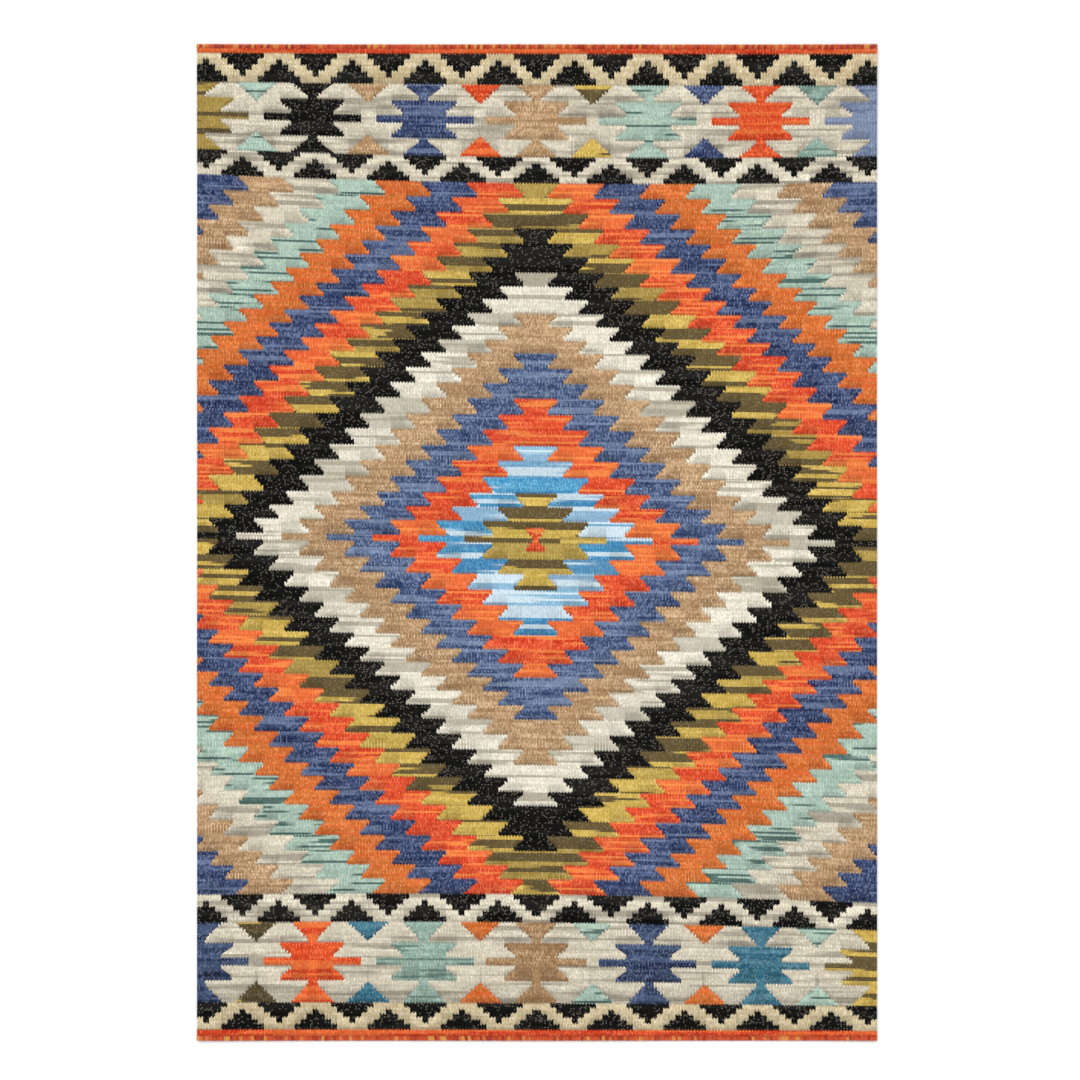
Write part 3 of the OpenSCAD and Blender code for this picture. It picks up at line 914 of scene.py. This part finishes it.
class Design:
    """The whole drawing of the rug: which patch each place belongs to."""

    def __init__(self) -> None:
        """Reads every band's place from the frame."""
        self.patches: list[Patch] = []
        self.field = Diamonds(level("inner_guard_ground_near", 1), level("inner_guard_ground_far", 0))

    def number(self, patch: Patch) -> int:
        """The patch's number, which it gets the first time it is asked for."""
        if patch not in self.patches:
            self.patches.append(patch)
        return self.patches.index(patch)

    def draw(self, x: Array, y: Array) -> tuple[Array, Array]:
        """Draws the rug from the ends inwards.

        Args:
            x: Places across the cloth.
            y: Places along the cloth.

        Returns:
            Each place's patch number, and its lot of yarn.
        """
        ring, lots = self.field.rings(x, y)
        numbers = np.array([self.number(p) for p in FIELD])
        areas = numbers[np.clip(ring, -1, len(FIELD) - 2).astype(int) + 1]
        lots = lots + 100 * (ring + 2)
        for end, medallions, fills in (
            (End.FAR, FAR_MEDALLIONS, FAR_FILLS),
            (End.NEAR, NEAR_MEDALLIONS, NEAR_FILLS),
        ):
            self._draw_end(end, medallions, fills, x, y, areas, lots)
        return areas, lots

    def _draw_end(
        self,
        end: End,
        medallions: tuple[Patch, ...],
        fills: tuple[Patch, ...],
        x: Array,
        y: Array,
        areas: Array,
        lots: Array,
    ) -> None:
        """Draws one end's guards, border and web over the field.

        Args:
            end: Which end.
            medallions: The medallions' patches from left to right.
            fills: The small triangles' patches from left to right.
            x: Places across the cloth.
            y: Places along the cloth.
            areas: Patch numbers, changed in place.
            lots: Lots of yarn, changed in place.
        """
        side, outer = end.name.lower(), int(end is End.FAR)
        border = MedallionBand(
            level(f"border_ground_{side}", 1 - outer), level(f"border_ground_{side}", outer)
        )
        lot = 3000.0 + 400 * outer
        for kind, phase, ground in (("inner", 0.0, GREY_IVORY), ("outer", 0.5, BEIGE)):
            node = f"{kind}_guard_ground_{side}"
            guard = GuardBand(level(node, 1 - outer), level(node, outer), phase)
            areas[guard.holds(y)] = self.number(Patch(node, ground))
            areas[guard.triangles(x, y)] = self.number(Patch(f"{kind}_guard_steps_{side}", BLACK))
            lots[guard.holds(y)] = lot + (40 if kind == "inner" else 80)
        areas[border.holds(y)] = self.number(Patch(f"border_ground_{side}", GREY_IVORY))
        lots[border.holds(y)] = lot
        for shapes, patches, first in (
            (border.medallions(x, y), medallions, -3),
            (border.fills(x, y), fills, -2.5),
        ):
            inside, number = shapes
            at = np.clip(number[inside] - first, 0, len(patches) - 1).astype(int)
            areas[inside] = np.array([self.number(p) for p in patches])[at]
            lots[inside] = lot + 120 + 20 * at + first
        web = Strip(level(f"end_web_{side}", 1 - outer), level(f"end_web_{side}", outer))
        beyond = y * end.value >= web.inner * end.value
        areas[beyond] = self.number(Patch(f"end_web_{side}", END_RED))
        lots[beyond] = lot + 380


# ------------------------------------------------------------------- the cloth


@dataclass(frozen=True)
class Lie:
    """How the cloth lies: rows a little out of square, and a gentle rise and fall, most at the edges."""

    half_width: float
    half_length: float
    skew: float = 0.0100
    bow: float = 0.001
    squeeze: float = 0.006
    flare: float = 0.0085
    wave: float = 0.0065
    spread: float = 0.0035
    border_shift: float = 0.0023
    ripple: float = 0.0006
    edge_lift: float = 0.0016
    corner_lift: float = 0.004

    def place(self, points: Array) -> Array:
        """Moves points of flat, square cloth to where they lie.

        With u and v the shares of the half width and half length, rows move along Y by
        (bow (u^2 - 1/3) - skew u - squeeze v + flare u^2 v - wave u^2 sin 7v) (1 - v^8). Along X the field
        spreads by spread sin(pi u), and the borders beyond it move left by border_shift (1 - u^4). The cloth
        rises by the ripple, by a wave that grows as u^6 + v^6 and by a corner lift of u^8 v^8.

        Args:
            points: Places as rows of x, y, z.

        Returns:
            The moved places.
        """
        x, y, z = points.T
        u, v = x / self.half_width, y / self.half_length
        hold = 1 - np.clip(np.abs(v), 0, 1) ** 8
        row = self.bow * (u * u - 1 / 3) - self.skew * u - self.squeeze * v
        row = (row + self.flare * u * u * v - self.wave * u * u * np.sin(7 * v)) * hold
        border = np.clip((np.abs(v) - 0.70) / 0.04, 0, 1)
        aside = (
            self.spread * np.sin(np.pi * u) * (1 - border)
            - self.border_shift * (1 - u**4) * border * hold
        )
        swell = np.clip(np.abs(u), 0, 1) ** 6 * (1 + np.sin(9.1 * y + 2.0 * u)) / 2
        swell = swell + np.clip(np.abs(v), 0, 1) ** 6 * (1 + np.sin(7.3 * x + 1.1)) / 2
        ripple = (2 + np.sin(13.0 * y + 1.3 * np.sin(3.1 * x)) + np.sin(5.3 * x - 2.1 * y)) / 2
        corner = (
            (np.clip(np.abs(u), 0, 1) * np.clip(np.abs(v), 0, 1)) ** 8
            * np.where((u > 0) & (v > 0), 1.0, 0.35)
        )
        rise = self.ripple * ripple + self.edge_lift * swell + self.corner_lift * corner
        return np.stack([x + aside, y + row, z + rise], axis=1)


@dataclass(frozen=True)
class Faces:
    """What a mesh is made from: points, quads, many-sided ends and what faces and corners carry."""

    points: Array
    quads: Array
    ends: Array
    weave: Array
    flat_shaded: Array
    carried: dict[str, Array]


def to_piece(name: str, faces: Faces, finish: bpy.types.Material) -> bpy.types.Object:
    """Makes an object with both of its maps.

    The bake's map is a plan view in which each place shifts a little with its height, so that upright
    faces have a width too.

    Args:
        name: The piece's name.
        faces: Its mesh.
        finish: Its material.

    Returns:
        The object, linked to the scene.
    """
    mesh = bpy.data.meshes.new(name)
    corners = np.concatenate([faces.quads.ravel(), faces.ends.ravel()]).astype(np.int32)
    sides = faces.ends.shape[1] if faces.ends.size else 0
    starts = np.arange(len(faces.quads)) * 4
    starts = np.concatenate([starts, faces.quads.size + np.arange(len(faces.ends)) * sides]).astype(np.int32)
    mesh.vertices.add(len(faces.points))
    mesh.vertices.foreach_set("co", faces.points.astype(np.float32).ravel())
    mesh.loops.add(len(corners))
    mesh.loops.foreach_set("vertex_index", corners)
    mesh.polygons.add(len(starts))
    mesh.polygons.foreach_set("loop_start", starts)
    weave = mesh.uv_layers.new(name=WEAVE_MAP, do_init=False)
    weave.uv.foreach_set("vector", faces.weave.astype(np.float32).ravel())
    at = faces.points[corners]
    plan = at[:, :2] + 0.35 * at[:, 2:]
    low, high = plan.min(0), plan.max(0)
    bake = mesh.uv_layers.new(name=BAKE_MAP, do_init=False)
    bake.uv.foreach_set("vector", (0.01 + 0.98 * (plan - low) / (high - low)).astype(np.float32).ravel())
    flat = mesh.attributes.new("sharp_face", "BOOLEAN", "FACE")
    flat.data.foreach_set("value", faces.flat_shaded)
    for key, values in faces.carried.items():
        carried = mesh.attributes.new(key, "FLOAT", "FACE")
        carried.data.foreach_set("value", values.astype(np.float32))
    mesh.update(calc_edges=True)
    mesh.validate()
    mesh.materials.append(finish)
    made = bpy.data.objects.new(name, mesh)
    bpy.context.scene.collection.objects.link(made)
    return made


@dataclass(frozen=True)
class RibOutline:
    """A rib's outline along the warp, clockwise from upper left: across in half ribs, up in thicknesses."""

    across: tuple[float, ...]
    up: tuple[float, ...]
    walls: tuple[int, ...]
    outer: tuple[int, ...] = ()


INNER_RIB = RibOutline((-1, -0.5, 0, 0.5, 1, 1, 0, -1), (0.79, 0.955, 1, 0.955, 0.79, 0.21, 0, 0.21), (4, 7))
RIGHT_RIB = RibOutline(
    (-1, -0.4, 0.2, 0.75, 1, 0.8, 0, -1), (0.79, 0.96, 1, 0.86, 0.5, 0.14, 0, 0.21), (7,), (3, 4, 5)
)
LEFT_RIB = RibOutline(
    (-1, -0.75, -0.2, 0.4, 1, 1, 0, -0.8), (0.5, 0.86, 1, 0.96, 0.79, 0.21, 0, 0.14), (4,), (0, 1, 7)
)


@dataclass(frozen=True)
class Weaving:
    """The woven cloth, as ribs of weft over the warps: each patch of colour is its own closed piece."""

    left: float
    right: float
    low: float
    high: float
    thick: float
    warp_pitch: float = 0.00352
    pick: float = 0.0025
    longest: int = 24
    scallop: float = 0.14

    @property
    def ribs(self) -> int:
        """How many ribs lie side by side."""
        return int((self.right - self.left) / self.warp_pitch + 0.05)

    @property
    def picks(self) -> int:
        """How many picks lie between the bound ends."""
        return int(round((self.high - self.low) / self.pick))

    def grid(self, design: Design) -> tuple[Array, Array]:
        """Draws the design on the loom: colours change at every second warp and at whole beads.

        A single bead with the same colour above and below it, or on its left and its right, joins that
        colour.

        Args:
            design: What is woven.

        Returns:
            Patch numbers and lots, by rib and by pick.
        """
        rib, pick = np.arange(self.ribs)[:, None], np.arange(self.picks)[None, :]
        middle = (self.ribs - 1) / 2
        pair = (rib // 2) * 2 + 0.5
        bead = (pick + rib % 2) // 2 * 2 - rib % 2 + 1
        x = np.broadcast_to((pair - middle) * self.warp_pitch, bead.shape)
        areas, lots = design.draw(x, self.low + bead * self.pick)
        inside, below, above = areas[:, 1:-2], areas[:, :-3], areas[:, 3:]
        lone = (inside == areas[:, 2:-1]) & (inside != below) & (below == above)
        lone &= ((pick + rib) % 2 == 0)[:, 1:-2]
        for made in (areas, lots):
            for shift in (0, 1):
                made[:, 1 + shift : made.shape[1] - 2 + shift][lone] = made[:, :-3][lone]
        left, mine, right = areas[:-2], areas[1:-1], areas[2:]
        apart = (mine != left) & (mine != right) & (left == right)
        whole = apart[:, :-1] & apart[:, 1:] & ((pick + rib) % 2 == 0)[1:-1, :-1]
        islands = np.zeros(apart.shape, bool)
        islands[:, :-1] |= whole
        islands[:, 1:] |= whole
        for made in (areas, lots):
            made[1:-1][islands] = made[:-2][islands]
        return areas, lots

    def segments(self, areas: Array, lots: Array) -> dict[str, Array]:
        """Cuts every rib where its patch or lot changes and at even lengths, the outermost at half picks.

        Args:
            areas: Patch numbers by rib and pick.
            lots: Lots by rib and pick.

        Returns:
            The rib, first and last pick, patch and lot of each segment, rib by rib.
        """
        fresh = np.ones(areas.shape, bool)
        fresh[:, 1:] = (areas[:, 1:] != areas[:, :-1]) | (lots[:, 1:] != lots[:, :-1])
        fresh[:, :: self.longest] = True
        fresh[[0, -1]] = True
        rib, low = np.nonzero(fresh)
        last = np.append(rib[1:] != rib[:-1], True)
        high = np.where(last, self.picks, np.append(low[1:], 0))
        area, lot = areas[rib, low], lots[rib, low]
        copies = np.where((rib == 0) | (rib == self.ribs - 1), 2, 1)
        part = np.arange(copies.sum()) - np.repeat(np.cumsum(copies) - copies, copies)
        rib, low, high, area, lot, copies = (
            np.repeat(v, copies) for v in (rib, low, high, area, lot, copies)
        )
        piece = (high - low) / copies
        return {
            "rib": rib, "low": low + part * piece, "high": low + (part + 1) * piece, "area": area, "lot": lot
        }

    def outline(self, rib: Array) -> tuple[Array, Array, Array, Array]:
        """Looks up each rib's outline.

        Args:
            rib: Rib numbers.

        Returns:
            Across, up, which corners face the cloth's side, and which faces are hidden walls, for each rib.
        """
        kinds = (INNER_RIB, LEFT_RIB, RIGHT_RIB)
        kind = np.where(rib == 0, 1, np.where(rib == self.ribs - 1, 2, 0))
        corners = np.arange(len(INNER_RIB.across))
        outer = np.array([np.isin(corners, k.outer) * (np.sign(k.across)) for k in kinds])
        walls = np.array([np.isin(corners, k.walls) for k in kinds])
        return (
            np.array([k.across for k in kinds])[kind],
            np.array([k.up for k in kinds])[kind],
            outer[kind],
            walls[kind],
        )

    def patch(self, cut: dict[str, Array], number: int, lie: Lie) -> Faces:
        """Builds one patch: rings of the rib's outline at the ends of segments, joined where they meet.

        On the outermost ribs the side corners stand out by |sin(pi pick / 2)| of the scallop.

        Args:
            cut: All segments.
            number: The patch's number.
            lie: How the cloth lies.

        Returns:
            The patch's mesh.
        """
        mine = cut["area"] == number
        rib, low, high, lot = (cut[k][mine] for k in ("rib", "low", "high", "lot"))
        first = np.append(True, (rib[1:] != rib[:-1]) | (low[1:] != high[:-1]))
        last = np.append(first[1:], True)
        start = np.arange(len(rib)) + np.cumsum(first) - 1
        total = int(start[-1]) + 2
        ring_rib, ring_at = np.zeros(total, int), np.zeros(total)
        ring_rib[start], ring_rib[start + 1] = rib, rib
        ring_at[start], ring_at[start + 1] = low, high
        across, up, outer, _ = self.outline(ring_rib)
        across = across + outer * self.scallop * np.abs(np.sin(np.pi * ring_at / 2))[:, None]
        x = (ring_rib[:, None] - (self.ribs - 1) / 2 + across / 2) * self.warp_pitch
        y = np.broadcast_to((self.low + ring_at * self.pick)[:, None], x.shape)
        points = lie.place(np.stack([x, y, up * self.thick], axis=2).reshape(-1, 3))
        count = x.shape[1]
        here, after = np.arange(count), (np.arange(count) + 1) % count
        base = start[:, None] * count
        quads = np.stack(
            [base + here, base + after, base + count + after, base + count + here], axis=2
        ).reshape(-1, 4)
        ends = np.concatenate([base[first] + here[::-1], base[last] + count + here])
        weave = np.stack(
            [
                ring_rib[:, None] + 0.5 + 0.499 * np.clip(across, -1, 1),
                np.broadcast_to(ring_at[:, None], x.shape),
            ],
            axis=2,
        ).reshape(-1, 2)
        walls = self.outline(rib)[3].ravel()
        corners = np.concatenate([quads.ravel(), ends.ravel()])
        flat = np.concatenate([walls, np.ones(len(ends), bool)])
        lots = np.concatenate([np.repeat(lot, count), lot[first], lot[last]])
        return Faces(points, quads, ends, weave[corners], flat, {LOT: lots})


def tubes(paths: Array, widths: Array, heights: Array, sides: int, twist: Array | None = None) -> Faces:
    """Carries a ring along each of many paths that all have the same number of points.

    At each point the ring is width cos(a) across and height sin(a) up, about the path's own direction.

    Args:
        paths: Path points, as (path, point, xyz).
        widths: Half width of the ring at each point, as (path, point).
        heights: Half height of the ring at each point, as (path, point).
        sides: Corners of the ring.
        twist: Extra turn of the ring at each point, as (path, point).

    Returns:
        The tubes, closed at both ends; the weave map holds the turn round the tube and the length in metres.
    """
    many, points = paths.shape[:2]
    run = np.gradient(paths, axis=1)
    run /= np.linalg.norm(run, axis=2, keepdims=True)
    aside = np.cross(run, np.array([0.0, 0.0, 1.0]))
    level_aside = np.linalg.norm(aside, axis=2, keepdims=True)
    aside = np.where(level_aside > 0.2, aside / np.maximum(level_aside, 1e-9), np.array([1.0, 0.0, 0.0]))
    aside *= np.sign((aside * aside[:, :1]).sum(2, keepdims=True) + 1e-9)
    up = np.cross(aside, run)
    turn = -2 * np.pi * np.arange(sides) / sides
    turn = turn[None, None, :] + (0 if twist is None else twist[:, :, None])
    ring = (
        paths[:, :, None]
        + aside[:, :, None] * (widths[:, :, None] * np.cos(turn))[..., None]
        + up[:, :, None] * (heights[:, :, None] * np.sin(turn))[..., None]
    )
    number = np.arange(many * points * sides).reshape(many, points, sides)
    after = np.roll(number, -1, axis=2)
    quads = np.stack([number[:, :-1], after[:, :-1], after[:, 1:], number[:, 1:]], axis=4 - 1).reshape(-1, 4)
    ends = np.concatenate([number[:, 0, ::-1], number[:, -1]])
    length = np.concatenate(
        [np.zeros((many, 1)), np.cumsum(np.linalg.norm(np.diff(paths, axis=1), axis=2), axis=1)], 1
    )
    round_it = np.arange(sides) / sides
    side_map = np.stack(
        [np.broadcast_to(round_it, number.shape), np.broadcast_to(length[:, :, None], number.shape)], axis=3
    ).reshape(-1, 2)
    weave = side_map[np.concatenate([quads.ravel(), ends.ravel()])]
    seam = (
        np.tile(np.array([False, True, True, False]), len(quads))
        & (np.repeat(quads[:, 0] % sides, 4) == sides - 1)
    )
    weave[: quads.size][seam, 0] = 1.0
    flat = np.concatenate([np.zeros(len(quads), bool), np.ones(len(ends), bool)])
    return Faces(ring.reshape(-1, 3), quads, ends, weave, flat, {})


@dataclass(frozen=True)
class Cords:
    """Straight cords side by side along the cloth: the warps, or the cords of a side edge."""

    places: Array
    low: float
    high: float
    up: float
    thick: float
    points: int = 20
    sides: int = 6

    def build(self, lie: Lie) -> Faces:
        """Builds the cords as tubes that lie as the cloth does.

        Args:
            lie: How the cloth lies.

        Returns:
            The cords' mesh.
        """
        y = np.linspace(self.low, self.high, self.points)
        x, y = np.meshgrid(self.places, y, indexing="ij")
        paths = lie.place(
            np.stack([x, y, np.full_like(x, self.up)], axis=2).reshape(-1, 3)
        ).reshape(*x.shape, 3)
        radius = np.full(x.shape, self.thick / 2)
        return tubes(paths, radius, radius, self.sides)


@dataclass(frozen=True)
class EndRoll:
    """The warp ends, turned in and rolled: a lumpy twisted roll along the end of the cloth."""

    left: float
    right: float
    at: float
    up: float
    thick: float
    points: int = 300
    sides: int = 8
    swell: float = 0.06
    swell_pitch: float = 0.0141
    turn_rate: float = 90.0

    def build(self, lie: Lie) -> Faces:
        """Builds the roll, whose radius swells and sinks by 6 % every 14.1 mm and turns as it goes.

        Args:
            lie: How the cloth lies.

        Returns:
            The roll's mesh.
        """
        x = np.linspace(self.left, self.right, self.points)
        flat = np.stack([x, np.full_like(x, self.at), np.full_like(x, self.up)], axis=1)
        radius = self.thick / 2 * (0.94 + self.swell * np.sin(2 * np.pi * x / self.swell_pitch))[None]
        turn = (x * self.turn_rate)[None]
        return tubes(lie.place(flat)[None], radius, radius, self.sides, turn)


@dataclass(frozen=True)
class Overcasting:
    """Slanted stitches of doubled wool over one end, from the face round the roll to the back."""

    end: End
    left: float
    right: float
    inner: float
    outer: float
    top: float
    thick: float = 0.0011
    pitch: float = 0.00352
    slant: float = 0.0042
    seed: int = 7

    def build(self, lie: Lie) -> Faces:
        """Builds the stitches as flattened tubes along a U.

        The path starts in the cloth on the face, rises over the roll, turns round the end on a half circle
        and comes back along the underside; it also moves aside by the slant from start to end.

        Args:
            lie: How the cloth lies.

        Returns:
            The stitches' mesh, with each strand's own colour number.
        """
        rng = np.random.default_rng(self.seed + self.end.value)
        count = int((self.right - self.left) / self.pitch)
        x = self.left + (np.arange(count) + 0.5) * (self.right - self.left) / count
        reach = abs(self.outer - self.inner)
        half = self.thick / 2
        radius = self.top / 2 - half
        turn = np.radians([90, 50, 0, -50, -90])
        along = np.concatenate(
            [[-0.0015, 0.003], reach - radius - half + radius * np.cos(turn), [0.003, -0.0015]]
        )
        above = np.concatenate([[0.0024, 0.0037], self.top / 2 + radius * np.sin(turn), [half, 0.0012]])
        share = np.linspace(0, 1, len(along))
        pair = np.arange(count) // 2
        jitter = rng.normal(0, 0.0006, pair.max() + 1)[pair]
        start = rng.normal(0, 0.0009, pair.max() + 1)[pair]
        slope = self.slant * (0.6 + 0.8 * rng.random(pair.max() + 1)[pair])
        px = x[:, None] + slope[:, None] * (share - 0.5) + 0.4 * jitter[:, None]
        px = np.clip(px, self.left + 0.0005, self.right - 0.0005)
        early = np.clip(1 - share * 4, 0, 1)
        py = self.inner + self.end.value * (along + early * start[:, None])
        pz = np.broadcast_to(above, px.shape)
        flat = np.stack([px, py, pz], axis=2)
        paths = lie.place(flat.reshape(-1, 3)).reshape(flat.shape)
        paths[:, :, 2] = np.maximum(paths[:, :, 2], half)
        taper = np.sin(np.pi * np.clip(share, 0.1, 0.9)) ** 0.3
        made = tubes(
            paths,
            np.broadcast_to(self.pitch * 0.54 * taper, px.shape),
            np.broadcast_to(half * taper, px.shape),
            6,
        )
        colour = np.clip(rng.random(pair.max() + 1)[pair] + rng.normal(0, 0.06, count), 0, 1)
        per_tube = len(made.quads) // count
        strand = np.concatenate([np.repeat(colour, per_tube), colour, colour])
        return Faces(made.points, made.quads, made.ends, made.weave, made.flat_shaded, {STRAND: strand})


# --------------------------------------------------------------------- the rug


class Rug:
    """The whole rug: builds its pieces, dresses them and ties each to the frame."""

    def __init__(self) -> None:
        """Reads the cloth's place and size from the frame."""
        low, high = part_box("field_black")
        self.left, self.right, self.thick = float(low.x), float(high.x), float(high.z)
        self.low, self.high = level("end_web_near", 0), level("end_web_far", 1)
        self.lie = Lie(self.right, float(CAD_BOX[1].y))
        self.slots = {part["node"]: part["material_slot"] for part in frame["record"]["subparts"]}
        self.finishes: dict[str, bpy.types.Material] = {}
        self.pieces: list[bpy.types.Object] = []

    def finish(self, kind: Wool | Cotton | StitchWool) -> bpy.types.Material:
        """The material of a finish, built the first time it is asked for."""
        if kind.name not in self.finishes:
            self.finishes[kind.name] = kind.material()
        return self.finishes[kind.name]

    def add(self, name: str, node: str, faces: Faces, kind: Wool | Cotton | StitchWool) -> bpy.types.Object:
        """Makes a piece that stands for a CAD node and rides on the rug's one body.

        Args:
            name: The piece's name.
            node: The CAD node that it stands for.
            faces: Its mesh.
            kind: Its finish.

        Returns:
            The piece.
        """
        made = to_piece(name, faces, self.finish(kind))
        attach(made, "root")
        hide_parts(node)
        self.pieces.append(made)
        LOG.info("%s: %d faces, stands for %s", name, len(made.data.polygons), node)
        return made

    def weave(self) -> None:
        """Weaves every patch of the cloth."""
        design = Design()
        loom = Weaving(self.left, self.right, self.low, self.high, self.thick)
        cut = loom.segments(*loom.grid(design))
        for number, patch in enumerate(design.patches):
            self.add("woven_" + patch.node, patch.node, loom.patch(cut, number, self.lie), patch.wool)

    def string(self) -> bpy.types.Object:
        """Strings the warps and the cords of the side edges.

        Returns:
            The warps.
        """
        low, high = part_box("warp_threads")
        pitch = Weaving.warp_pitch
        middle = float(low.z + high.z) / 2
        count = int(round(float(high.x - low.x) / pitch))
        places = (np.arange(count) - (count - 1) / 2) * pitch
        warps = Cords(places, float(low.y), float(high.y), middle, DRAWN_WARP)
        made = self.add("warp_cords", "warp_threads", warps.build(self.lie), COTTON)
        for hand in Hand:
            node = f"selvedge_cords_{hand.name.lower()}"
            low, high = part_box(node)
            thick = float(high.z - low.z)
            places = np.array([float(low.x) + thick / 2, float(high.x) - thick / 2])
            cords = Cords(places, float(low.y), float(high.y), middle, thick, points=80, sides=10)
            self.add(f"edge_cords_{hand.name.lower()}", node, cords.build(self.lie), COTTON)
        return made

    def bind(self) -> None:
        """Rolls the warp ends in and overcasts both ends."""
        for end in End:
            side, outer = end.name.lower(), int(end is End.FAR)
            low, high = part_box(f"end_roll_{side}")
            middle = (low + high) / 2
            roll = EndRoll(
                float(low.x), float(high.x), float(middle.y), float(middle.z), float(high.z - low.z)
            )
            self.add(f"rolled_warp_ends_{side}", f"end_roll_{side}", roll.build(self.lie), COTTON)
            low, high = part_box(f"end_overcasting_{side}")
            ends = (float(low.y), float(high.y))
            stitches = Overcasting(
                end, float(low.x), float(high.x), ends[1 - outer], ends[outer], float(high.z)
            )
            self.add(f"overcast_stitches_{side}", f"end_overcasting_{side}", stitches.build(self.lie), STITCH)

    def build(self) -> None:
        warps = self.string()
        self.weave()
        self.bind()


# ------------------------------------------------------------------- the studio


@dataclass(frozen=True)
class Studio:
    """A white floor, soft light from all round and above, and a camera straight over the rug."""

    floor_half: float = 9.0
    aim: tuple[float, float] = (0.0069, 0.0058)
    view_width: float = 2.494
    lens: float = 90.0
    sky: float = 0.82
    sun: float = 1.55

    def floor(self) -> None:
        """Lays the floor as one wide sheet with a faint, even grain."""
        steps = np.linspace(-self.floor_half, self.floor_half, 13)
        x, y = np.meshgrid(steps, steps, indexing="ij")
        points = np.stack([x, y, np.full_like(x, -0.0002)], axis=2).reshape(-1, 3)
        number = np.arange(x.size).reshape(x.shape)
        quads = np.stack(
            [number[:-1, :-1], number[1:, :-1], number[1:, 1:], number[:-1, 1:]], axis=2
        ).reshape(-1, 4)
        mesh = bpy.data.meshes.new("floor")
        mesh.from_pydata(points.tolist(), [], quads.tolist())
        made = bpy.data.materials.new("floor_white")
        made.use_nodes = True
        w, shader = Wiring(made.node_tree), made.node_tree.nodes["Principled BSDF"]
        grain = w.node("TexNoise", w.node("TexCoord").outputs["Object"])
        grain.inputs["Scale"].default_value = 3.0
        made.node_tree.links.new(
            w.mix(grain.outputs[0], (0.93, 0.93, 0.93), (0.95, 0.95, 0.95)), shader.inputs["Base Color"]
        )
        shader.inputs["Roughness"].default_value = 0.9
        shader.inputs["Specular IOR Level"].default_value = 0.1
        mesh.materials.append(made)
        floor = bpy.data.objects.new("floor", mesh)
        bpy.context.scene.collection.objects.link(floor)

    def lights(self) -> None:
        """Sets an even sky and one wide, soft lamp high on the left."""
        scene = bpy.context.scene
        world = bpy.data.worlds.new("studio")
        scene.world = world
        world.use_nodes = True
        back = world.node_tree.nodes["Background"]
        back.inputs[0].default_value = (1.0, 1.0, 1.0, 1.0)
        back.inputs[1].default_value = self.sky
        lamp = bpy.data.lights.new("key", "SUN")
        lamp.energy = self.sun
        lamp.angle = math.radians(40)
        key = bpy.data.objects.new("key", lamp)
        key.rotation_euler = (math.radians(-38), math.radians(-22), 0)
        scene.collection.objects.link(key)

    def camera(self) -> None:
        """Hangs the camera over the rug, as high as its lens needs for the view's width."""
        scene = bpy.context.scene
        lens = bpy.data.cameras.new("camera")
        lens.lens = self.lens
        lens.sensor_width = 36.0
        lens.clip_end = 100.0
        made = bpy.data.objects.new("camera", lens)
        made.location = (*self.aim, self.view_width * self.lens / lens.sensor_width + 0.004)
        scene.collection.objects.link(made)
        scene.camera = made
        scene.view_settings.view_transform = "Standard"

    def build(self) -> None:
        """Builds the studio."""
        self.floor()
        self.lights()
        self.camera()


def main() -> None:
    """Builds the studio and the rug, in that order."""
    logging.basicConfig(level=logging.INFO, format="%(name)s: %(message)s")
    Studio().build()
    Rug().build()


if __name__ == "__main__":
    main()
